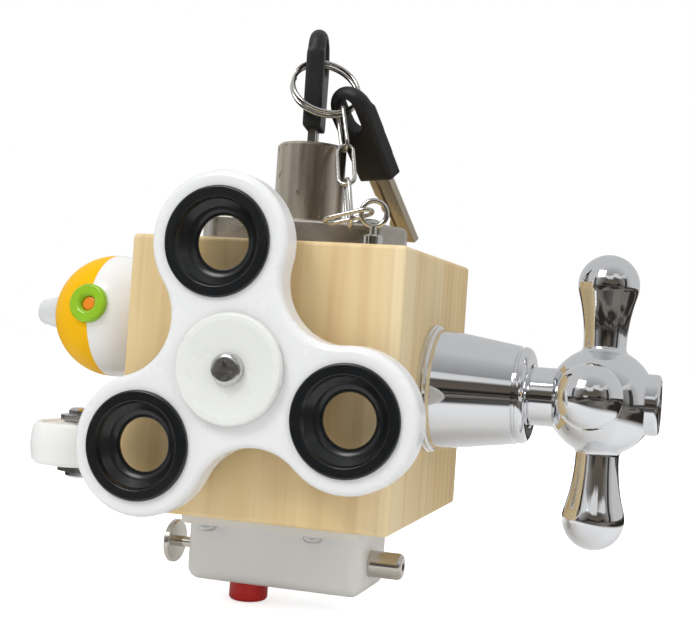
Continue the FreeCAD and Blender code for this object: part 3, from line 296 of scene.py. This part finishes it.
class Finish:
    """A material with helpers to add nodes by their short names."""

    def __init__(self, name, colour, rough, metal=0.0, **sockets):
        self.mat = bpy.data.materials.new(name)
        self.mat.use_nodes = True
        self.nodes = self.mat.node_tree.nodes
        self.links = self.mat.node_tree.links
        self.shader = self.nodes["Principled BSDF"]
        self.set("Base Color", (*colour, 1))
        self.set("Roughness", rough)
        self.set("Metallic", metal)
        for key, value in sockets.items():
            self.set(key.replace("_", " "), value)
        self.mat.diffuse_color = (*colour, 1)
        self.coords = self.nodes.new("ShaderNodeTexCoord").outputs["Object"]

    def set(self, socket, value):
        """A plain value on the shader."""
        self.shader.inputs[socket].default_value = value

    def mapped(self, scale, place=(0, 0, 0), turn=(0, 0, 0)):
        """Object coordinates stretched, moved and turned."""
        m = self.nodes.new("ShaderNodeMapping")
        m.inputs["Scale"].default_value = scale
        m.inputs["Location"].default_value = place
        m.inputs["Rotation"].default_value = turn
        self.links.new(self.coords, m.inputs["Vector"])
        return m.outputs[0]

    def noise(self, scale, detail=4, vector=None, distort=0.0, rough=0.5):
        """A noise texture's height."""
        n = self.nodes.new("ShaderNodeTexNoise")
        n.inputs["Scale"].default_value = scale
        n.inputs["Detail"].default_value = detail
        n.inputs["Roughness"].default_value = rough
        n.inputs["Distortion"].default_value = distort
        self.links.new(vector or self.coords, n.inputs["Vector"])
        return n.outputs[0]

    def ramp(self, source, stops):
        """Colours along a height."""
        r = self.nodes.new("ShaderNodeValToRGB")
        band = r.color_ramp
        while len(band.elements) < len(stops):
            band.elements.new(0.5)
        for e, (at, colour) in zip(band.elements, stops):
            e.position = at
            e.color = (*colour, 1) if len(colour) == 3 else colour
        self.links.new(source, r.inputs[0])
        return r.outputs[0]

    def math(self, kind, a, b=None):
        """One arithmetic step."""
        m = self.nodes.new("ShaderNodeMath")
        m.operation = kind
        for socket, v in zip(m.inputs, (a, b)):
            if v is None:
                continue
            if isinstance(v, (int, float)):
                socket.default_value = v
            else:
                self.links.new(v, socket)
        return m.outputs[0]

    def mix(self, share, a, b):
        """Two colours mixed by a share."""
        m = self.nodes.new("ShaderNodeMix")
        m.data_type = "RGBA"
        for socket, v in ((m.inputs[0], share), (m.inputs[6], a), (m.inputs[7], b)):
            if isinstance(v, (int, float)):
                socket.default_value = v
            elif isinstance(v, tuple):
                socket.default_value = (*v, 1)
            else:
                self.links.new(v, socket)
        return m.outputs[2]

    def colour(self, source):
        """Plug a colour in."""
        self.links.new(source, self.shader.inputs["Base Color"])

    def rough(self, source, low, high):
        """Roughness that wanders between two values."""
        m = self.nodes.new("ShaderNodeMapRange")
        m.inputs["From Min"].default_value = 0.3
        m.inputs["From Max"].default_value = 0.7
        m.inputs["To Min"].default_value = low
        m.inputs["To Max"].default_value = high
        self.links.new(source, m.inputs["Value"])
        self.links.new(m.outputs[0], self.shader.inputs["Roughness"])

    def bump(self, source, depth_mm, strength=1.0):
        """Relief of a real depth."""
        b = self.nodes.new("ShaderNodeBump")
        b.inputs["Distance"].default_value = depth_mm * MM
        b.inputs["Strength"].default_value = strength
        self.links.new(source, b.inputs["Height"])
        self.links.new(b.outputs[0], self.shader.inputs["Normal"])


def dress(finish, *names):
    """Give a finish to CAD nodes."""
    for name in names:
        obj = NODES[name]
        obj.data.materials.clear()
        obj.data.materials.append(finish.mat)


# %% [markdown]
# ## Pine
# The block is a length of square post, so its long grain stands upright and its top and underside are
# end grain. Growth rings are cylinders round a pith that lies outside the block, so one ring pattern
# gives straight grain on the sides and arcs on the ends, as sawing does. Fine upright fibres go on top.

# %% Pine
PITH = (-0.020, 0.075)
RING_STEP = 4.2 * MM


def make_pine():
    """Ring-grown pale softwood."""
    f = Finish("pine", (0.80, 0.62, 0.38), 0.5)
    wander = f.noise(9.0, 3, f.mapped((1, 1, 0.25)))
    uneven = f.noise(85.0, 2, f.mapped((1, 1, 0.02), (0.2, 0.5, 0.1)))
    sep = f.nodes.new("ShaderNodeSeparateXYZ")
    f.links.new(f.coords, sep.inputs[0])
    dx = f.math("ADD", sep.outputs[0], -PITH[0])
    dy = f.math("ADD", sep.outputs[1], -PITH[1])
    r = f.math("SQRT", f.math("ADD", f.math("MULTIPLY", dx, dx), f.math("MULTIPLY", dy, dy)))
    r = f.math("ADD", r, f.math("MULTIPLY", wander, 0.018))
    r = f.math("ADD", r, f.math("MULTIPLY", uneven, 0.010))
    phase = f.math("FRACT", f.math("DIVIDE", r, RING_STEP))
    late = f.ramp(phase, [(0.0, (0.05,) * 3), (0.50, (0.2,) * 3), (0.86, (1, 1, 1)), (0.97, (0.1,) * 3)])
    faint = f.ramp(f.noise(30, 2, f.mapped((1, 1, 0.1), (0.1, 0.9, 0.2))),
                   [(0.36, (0.15,) * 3), (0.62, (1, 1, 1))])
    fibre = f.noise(1500, 3, f.mapped((1, 1, 0.03)))
    streak = f.noise(190, 3, f.mapped((1, 1, 0.04), (0.3, 0.1, 0)), 0.3)
    tone = f.ramp(f.noise(52, 2, f.mapped((1, 1, 0.05), (0.7, 0.2, 0.4)), 0.6),
                  [(0.38, (0, 0, 0)), (0.62, (1, 1, 1))])
    pale = f.mix(tone, (0.88, 0.72, 0.44), (0.79, 0.59, 0.29))
    ringed = f.mix(f.math("MULTIPLY", f.math("MULTIPLY", late, faint), 0.42), pale, (0.60, 0.38, 0.17))
    streaked = f.mix(f.math("MULTIPLY", f.ramp(streak, [(0.52, (0, 0, 0)), (0.70, (1, 1, 1))]), 0.40),
                     ringed, (0.58, 0.36, 0.16))
    fibred = f.mix(f.math("MULTIPLY", f.ramp(fibre, [(0.45, (0, 0, 0)), (0.75, (1, 1, 1))]), 0.20),
                   streaked, (0.66, 0.46, 0.27))
    f.colour(fibred)
    f.rough(fibre, 0.42, 0.58)
    f.bump(f.math("ADD", fibre, f.math("MULTIPLY", late, 0.5)), 0.05, 0.35)
    return f


pine = make_pine()
dress(pine, "wood_block")

# %% [markdown]
# ## Plastics
# Moulded plastic is smooth but never perfect: a faint orange peel, slight clouding and a roughness that
# wanders from handling. The white parts get a little subsurface light so that edges look soft. The black
# key grips are spark-eroded, so their bump is finer and deeper.

# %% Plastics


def moulded(name, colour, rough, peel=0.02, soft=0.0, cloud=0.03, grain=900, **more):
    """A moulded plastic with faint clouding, peel and handling marks."""
    f = Finish(name, colour, rough, **more)
    cloudy = f.noise(60, 3)
    darker = tuple(c * (1 - cloud) for c in colour)
    f.colour(f.mix(cloudy, darker, tuple(min(1, c * (1 + cloud)) for c in colour)))
    f.rough(f.noise(220, 4), max(0.02, rough - 0.05), rough + 0.06)
    f.bump(f.noise(grain, 2), peel, 0.3)
    if soft:
        f.set("Subsurface Weight", soft)
        f.set("Subsurface Radius", (0.003, 0.003, 0.003))
        f.set("Subsurface Scale", 1.0)
    return f


white_plastic = moulded("white_plastic", (0.83, 0.83, 0.83), 0.24, soft=0.1)
cap_plastic = moulded("cap_plastic", (0.80, 0.81, 0.77), 0.30, soft=0.15)
case_plastic = moulded("case_plastic", (0.80, 0.80, 0.785), 0.34, soft=0.1)
black_plastic = moulded("black_plastic", (0.008, 0.009, 0.010), 0.24, cloud=0.2)
key_black = moulded("key_black", (0.010, 0.010, 0.011), 0.48, peel=0.05, cloud=0.2, grain=2600)
yellow_plastic = moulded("yellow_plastic", (0.93, 0.50, 0.002), 0.42, Specular_IOR_Level=0.1)
ball_white = moulded("ball_white", (0.88, 0.88, 0.875), 0.20, soft=0.1)
red_plastic = moulded("red_plastic", (0.55, 0.010, 0.008), 0.38)
green_plastic = moulded("green_plastic", (0.42, 0.78, 0.03), 0.12, Transmission_Weight=0.35)
orange_plastic = moulded("orange_plastic", (0.90, 0.26, 0.015), 0.2)
nylon = moulded("nylon", (0.78, 0.77, 0.72), 0.45)
wheel_plastic = moulded("wheel_plastic", (0.90, 0.91, 0.89), 0.34, soft=0.2)
frosted = moulded("frosted_plastic", (0.86, 0.88, 0.90), 0.42, soft=0.3, Transmission_Weight=0.25)

dress(white_plastic, "spinner_body", "spinner_washer")
dress(cap_plastic, "spinner_front_cap", "spinner_rear_cap")
dress(black_plastic, "spinner_ring_1", "spinner_ring_2", "spinner_ring_3")
dress(key_black, "key_1_bow", "key_2_bow")
dress(yellow_plastic, "ball_outer")
dress(ball_white, "ball_inner")
dress(green_plastic, "ball_eyelet")
dress(orange_plastic, "ball_bead")
dress(frosted, "ball_nub")
dress(wheel_plastic, "caster_wheel")
dress(nylon, "ball_bush", "bearing_cage")
dress(case_plastic, "bolt_case")
dress(red_plastic, "release_button")

# %% [markdown]
# ## Metals
# Each metal is the same recipe with its own colour and roughness: mirror chrome on the tap, satin
# nickel on the lock and the bolt, steel on screws, wire on the chain, and duller metal on the keys.
# Chrome is smooth with finger smears in its roughness. The lock's barrel has upright brown streaks
# painted into its colour as painted reflection, and it has small dark pits.

# %% Metals


def metal(name, colour, low, high, streak=(1, 1, 1), scale=120, relief=0.01, mottling=0.06, reflection_and_pit_colour=None):
    """A metal whose roughness and colour wander a little, with upright streaks of painted reflection and
    dark pits where a colour is given.
    """
    f = Finish(name, colour, (low + high) / 2, 1.0)
    grain = f.noise(scale, 4, f.mapped(streak))
    f.rough(grain, low, high)
    wandering = f.mix(f.noise(90, 3), tuple(c * (1 - mottling) for c in colour), colour)
    if reflection_and_pit_colour:
        # Upright brown streaks in the colour: painted reflection. The pits below are dark marks of the
        # metal itself.
        painted_reflection_streaks = f.ramp(f.noise(170, 3, f.mapped((1, 1, 0.05), (0.4, 0.1, 0.2))),
                       [(0.44, (0, 0, 0)), (0.60, (1, 1, 1))])
        wandering = f.mix(f.math("MULTIPLY", painted_reflection_streaks, 0.8), wandering, reflection_and_pit_colour)
        pits = f.ramp(f.noise(420, 3, f.mapped((1, 1, 0.6), (0.2, 0.3, 0.9))),
                      [(0.66, (0, 0, 0)), (0.72, (1, 1, 1))])
        wandering = f.mix(f.math("MULTIPLY", pits, 0.7), wandering, tuple(c * 0.3 for c in reflection_and_pit_colour))
    f.colour(wandering)
    f.bump(grain, relief, 0.25)
    return f


chrome = metal("chrome", (0.80, 0.81, 0.83), 0.03, 0.09, scale=35, relief=0.002)
# The barrel's brown streaks are painted reflection; its pits are dark marks of its own.
barrel_nickel = metal("barrel_nickel", (0.64, 0.58, 0.48), 0.26, 0.38, (1, 1, 0.06), 700, 0.01, 0.15,
                      reflection_and_pit_colour=(0.27, 0.21, 0.15))
case_nickel = metal("case_nickel", (0.50, 0.47, 0.42), 0.24, 0.36, (0.15, 1, 1), 500, 0.008, 0.1)
bolt_nickel = metal("bolt_nickel", (0.66, 0.63, 0.58), 0.14, 0.26, (0.1, 1, 1), 500, 0.006, 0.08)
steel = metal("steel", (0.62, 0.62, 0.62), 0.18, 0.32, scale=260)
wire = metal("wire", (0.64, 0.63, 0.59), 0.12, 0.22, scale=400)
key_metal = metal("key_metal", (0.50, 0.44, 0.35), 0.2, 0.34, (1, 1, 0.1), 600, 0.01, 0.12)
shank_steel = metal("shank_steel", (0.34, 0.33, 0.32), 0.18, 0.30, (1, 1, 0.1), 500)

dress(chrome, "tap_base_ring", "tap_bell", "tap_handle", "tap_index_cap")
dress(barrel_nickel, "lock_cylinder", "lock_plug")
dress(case_nickel, "lock_case", "lock_bolt")
dress(bolt_nickel, "latch_bolt", "tap_spindle", "tap_valve_body")
dress(steel, "spinner_screw", "lock_screws", "ball_axle_screw", "caster_bracket", "caster_axle",
      "caster_screws", "bolt_case_screws", "bearing_inner_race", "bearing_outer_race",
      "bearing_balls", "tap_handle_screw")
dress(wire, "chain", "key_ring", "screw_eye")
dress(key_metal, "key_2_blade")
dress(shank_steel, "key_1_blade")

# %% [markdown]
# ## Key grips
# The photographed grips are soft mouldings: no edge on them is sharp, and the slot's rim rolls over.
# Filleting every edge one by one would be slow, so the grip starts as plain solids at their true
# sizes: a box for the body and, for the head, a torus round a disc, which gives it a rolled rim.
# They are joined, slotted, remeshed into small even cells and smoothed. Smoothing rounds every edge by
# about the same amount, as polishing a mould does. One grip is modelled standing on the origin, and
# a copy with its own mesh goes to each key.

# %% Key grips
GRIP_HALF_WIDTH = 5.9 * MM
GRIP_THICK = 4.3 * MM
GRIP_HIGH = 24.0 * MM
GRIP_FOOT_SHARE = 0.86
SLOT_HALF_WIDTH = 2.35 * MM
SLOT_HALF_LONG = 4.4 * MM
SLOT_AT = GRIP_HIGH - 6.8 * MM
GRIP_CELL = 0.28 * MM
ALL_OVER_PASSES = 20
HEAD_PASSES = 24
HEAD_FROM = 9.0 * MM
QUARTER = math.pi / 2


def apply_modifiers(obj):
    """Turn the modifier stack into plain mesh."""
    select_only(obj)
    for modifier in list(obj.modifiers):
        bpy.ops.object.modifier_apply(modifier=modifier.name)


def boolean(obj, other, operation):
    """Join or cut with another solid, which is used up."""
    modifier = obj.modifiers.new("boolean", "BOOLEAN")
    modifier.operation = operation
    modifier.object = other
    modifier.solver = "EXACT"
    apply_modifiers(obj)
    select_only(other)
    bpy.ops.object.delete()


def even_cells(obj):
    """Rebuild a solid's skin from small even cells."""
    cells = obj.modifiers.new("cells", "REMESH")
    cells.mode = "VOXEL"
    cells.voxel_size = GRIP_CELL
    apply_modifiers(obj)


def stadium(half_wide, half_long, thick, at):
    """A bar along x whose section is two half circles joined by straight sides."""
    ends = []
    for side in (-1, 1):
        bpy.ops.mesh.primitive_cylinder_add(vertices=48, radius=half_wide, depth=thick,
                                            location=(0, 0, at + side * (half_long - half_wide)),
                                            rotation=(0, QUARTER, 0))
        ends.append(bpy.context.object)
    bpy.ops.mesh.primitive_cube_add(size=1, location=(0, 0, at),
                                    scale=(thick, 2 * half_wide, 2 * (half_long - half_wide)))
    middle = bpy.context.object
    for end in ends:
        boolean(middle, end, "UNION")
    return middle


def soft_grip():
    """The grip in its own frame: z up, y across, x through."""
    body_high = GRIP_HIGH - GRIP_HALF_WIDTH
    select_only()
    bpy.ops.mesh.primitive_cube_add(size=1, location=(0, 0, body_high / 2),
                                    scale=(GRIP_THICK, 2 * GRIP_HALF_WIDTH, body_high))
    grip = bpy.context.object
    bpy.ops.object.transform_apply(location=True, rotation=True, scale=True)
    for vertex in grip.data.vertices:
        if vertex.co.z < body_high / 2:
            vertex.co.y *= GRIP_FOOT_SHARE
    bar = GRIP_THICK / 2
    bpy.ops.mesh.primitive_torus_add(major_segments=96, minor_segments=24,
                                     major_radius=GRIP_HALF_WIDTH - bar, minor_radius=bar,
                                     location=(0, 0, body_high), rotation=(0, QUARTER, 0))
    boolean(grip, bpy.context.object, "UNION")
    bpy.ops.mesh.primitive_cylinder_add(vertices=96, radius=GRIP_HALF_WIDTH - bar, depth=GRIP_THICK,
                                        location=(0, 0, body_high), rotation=(0, QUARTER, 0))
    boolean(grip, bpy.context.object, "UNION")
    even_cells(grip)
    boolean(grip, stadium(SLOT_HALF_WIDTH, SLOT_HALF_LONG, 2 * GRIP_THICK, SLOT_AT), "DIFFERENCE")
    even_cells(grip)
    head = grip.vertex_groups.new(name="head")
    for vertex in grip.data.vertices:
        share = (vertex.co.z - HEAD_FROM) / (GRIP_HIGH - HEAD_FROM)
        head.add([vertex.index], min(1.0, max(0.0, share)), "REPLACE")
    all_over = grip.modifiers.new("all_over", "SMOOTH")
    all_over.factor = 0.5
    all_over.iterations = ALL_OVER_PASSES
    rounder = grip.modifiers.new("rounder", "SMOOTH")
    rounder.factor = 0.5
    rounder.iterations = HEAD_PASSES
    rounder.vertex_group = "head"
    apply_modifiers(grip)
    bpy.ops.object.shade_smooth()
    return grip


def place(obj, origin_mm, z_axis, x_axis):
    """Stand a piece modelled at the origin in the frame, and leave its place in its mesh."""
    z = Vector(z_axis).normalized()
    y = z.cross(Vector(x_axis)).normalized()
    turn = Matrix((y.cross(z), y, z)).transposed().to_4x4()
    turn.translation = Vector(origin_mm) * MM
    obj.matrix_world = turn
    select_only(obj)
    bpy.ops.object.transform_apply(location=True, rotation=True, scale=True)
    return obj


def copy_of(obj, name):
    """A copy with its own mesh."""
    twin = obj.copy()
    twin.data = obj.data.copy()
    twin.name = name
    twin.data.name = name
    bpy.context.collection.objects.link(twin)
    return twin


LOCK_TURN = math.radians(12.0)
GRIP_1_FOOT = (-2.2, -31.0, 58.9)
GRIP_2_FOOT = (12.48, -22.34, 49.37)
GRIP_2_UP = (-0.27187, -0.55393, 0.78692)
GRIP_2_THROUGH = (0.33211, 0.71348, 0.61697)
pattern = soft_grip()
grip_1 = place(copy_of(pattern, "key_1_grip"), GRIP_1_FOOT, (0, 0, 1),
               (math.cos(LOCK_TURN), math.sin(LOCK_TURN), 0))
grip_2 = place(copy_of(pattern, "key_2_grip"), GRIP_2_FOOT, GRIP_2_UP, GRIP_2_THROUGH)
select_only(pattern)
bpy.ops.object.delete()
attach(grip_1, "key_plug")
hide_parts("key_1_bow")
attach(grip_2, "spare_key")
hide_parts("key_2_bow")
for grip in (grip_1, grip_2):
    grip.data.materials.clear()
    grip.data.materials.append(key_black.mat)
    print(grip.name, "has", len(grip.data.polygons), "faces")

# %% [markdown]
# ## Chain
# A welded link is a round wire bent to a stadium, so a torus is the right start: its two halves are
# pulled apart in edit mode and the quads between them stretch into the straight sides. Each link hangs
# about square to the next. The chain crosses a joint, from the screw eye on the cube to the ring on the
# key.

# %% Chain
LINK_HALF_LONG = 5.5 * MM
LINK_HALF_WIDE = 1.875 * MM
LINK_WIRE = 0.475 * MM
# Each link's middle in millimetres, the way it runs, and the way across it
LINK_PLACES = (
    ((6.72, -36.09, 58.44), (0.268, -0.240, -0.933), (0.563, -0.746, 0.354)),
    ((9.25, -39.51, 49.55), (0.249, -0.433, -0.866), (0.963, 0.205, 0.174)),
    ((11.46, -42.72, 40.53), (0.205, -0.206, -0.957), (-0.520, 0.805, -0.285)),
    ((12.79, -45.77, 37.15), (-0.966, -0.030, -0.257), (-0.026, -0.977, 0.210)),
)


def chain_link():
    """A link in its own frame: z along it, x across it, y square to its plane."""
    select_only()
    bpy.ops.mesh.primitive_torus_add(major_segments=64, minor_segments=16,
                                     major_radius=LINK_HALF_WIDE, minor_radius=LINK_WIRE,
                                     rotation=(QUARTER, 0, 0))
    link = bpy.context.object
    bpy.ops.object.transform_apply(location=True, rotation=True, scale=True)
    pull = LINK_HALF_LONG - LINK_HALF_WIDE
    for side in (-1, 1):
        bpy.ops.object.mode_set(mode="EDIT")
        bpy.ops.mesh.select_mode(type="VERT")
        bpy.ops.mesh.select_all(action="DESELECT")
        bpy.ops.object.mode_set(mode="OBJECT")
        for vertex in link.data.vertices:
            vertex.select = vertex.co.z * side > 1e-7
        bpy.ops.object.mode_set(mode="EDIT")
        bpy.ops.transform.translate(value=(0, 0, side * pull))
        bpy.ops.object.mode_set(mode="OBJECT")
    bpy.ops.object.shade_smooth()
    return link


pattern = chain_link()
for number, (at, along, across) in enumerate(LINK_PLACES, 1):
    link = place(copy_of(pattern, "chain_link_%d" % number), at, along, across)
    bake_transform(link)
    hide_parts("chain")
    link.data.materials.clear()
    link.data.materials.append(wire.mat)
select_only(pattern)
bpy.ops.object.delete()
print("chain of", len(LINK_PLACES), "links")
